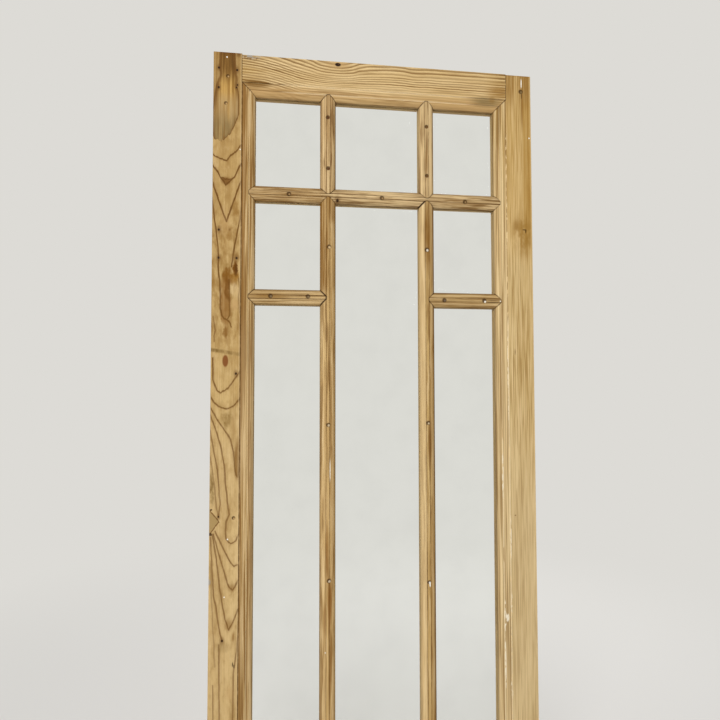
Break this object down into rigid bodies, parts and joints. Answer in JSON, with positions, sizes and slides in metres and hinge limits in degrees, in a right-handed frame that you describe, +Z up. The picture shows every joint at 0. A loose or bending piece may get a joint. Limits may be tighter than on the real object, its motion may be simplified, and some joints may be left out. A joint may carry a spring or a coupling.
{
  "type": "glazed interior door leaf",
  "caption": "Stripped pine interior door leaf: moulded stiles and rails, mitred glazing bars and clear panes held by beads at the back, with hinge seats in one edge.",
  "frame": {"origin": "middle of the bottom edge, in the middle of the leaf's thickness", "axes": "+X to the right seen from the moulded front, -Y out of the front face, +Z up"},
  "size_m": [0.762, 0.035, 1.981],
  "materials": {
    "stile_pine": "stripped old pine, flat-sawn, satin-matt",
    "rail_pine": "stripped old pine, satin-matt",
    "bar_pine": "stripped old pine with dirt in the quirks, satin-matt",
    "bead_pine": "stripped old pine, satin-matt",
    "wedge_pine": "pine, worn",
    "clear_glass": "clear, thin"
  },
  "bodies": {
    "root": {"left_stile": "stile_pine", "right_stile": "stile_pine", "top_rail": "rail_pine", "bottom_rail": "rail_pine", "tenon_wedges": "wedge_pine", "cross_bar": "bar_pine", "upper_left_bar": "bar_pine", "upper_right_bar": "bar_pine", "lower_left_bar": "bar_pine", "lower_right_bar": "bar_pine", "left_margin_bar": "bar_pine", "right_margin_bar": "bar_pine", "top_left_glass": "clear_glass", "top_middle_glass": "clear_glass", "top_right_glass": "clear_glass", "side_left_glass": "clear_glass", "side_right_glass": "clear_glass", "tall_left_glass": "clear_glass", "tall_middle_glass": "clear_glass", "tall_right_glass": "clear_glass", "top_left_lower_bead": "bead_pine", "top_left_right_bead": "bead_pine", "top_left_upper_bead": "bead_pine", "top_left_left_bead": "bead_pine", "top_middle_lower_bead": "bead_pine", "top_middle_right_bead": "bead_pine", "top_middle_upper_bead": "bead_pine", "top_middle_left_bead": "bead_pine", "top_right_lower_bead": "bead_pine", "top_right_right_bead": "bead_pine", "top_right_upper_bead": "bead_pine", "top_right_left_bead": "bead_pine", "side_left_lower_bead": "bead_pine", "side_left_right_bead": "bead_pine", "side_left_upper_bead": "bead_pine", "side_left_left_bead": "bead_pine", "side_right_lower_bead": "bead_pine", "side_right_right_bead": "bead_pine", "side_right_upper_bead": "bead_pine", "side_right_left_bead": "bead_pine", "tall_left_lower_bead": "bead_pine", "tall_left_right_bead": "bead_pine", "tall_left_upper_bead": "bead_pine", "tall_left_left_bead": "bead_pine", "tall_middle_lower_bead": "bead_pine", "tall_middle_right_bead": "bead_pine", "tall_middle_upper_bead": "bead_pine", "tall_middle_left_bead": "bead_pine", "tall_right_lower_bead": "bead_pine", "tall_right_right_bead": "bead_pine", "tall_right_upper_bead": "bead_pine", "tall_right_left_bead": "bead_pine"}
  },
  "joints": []
}
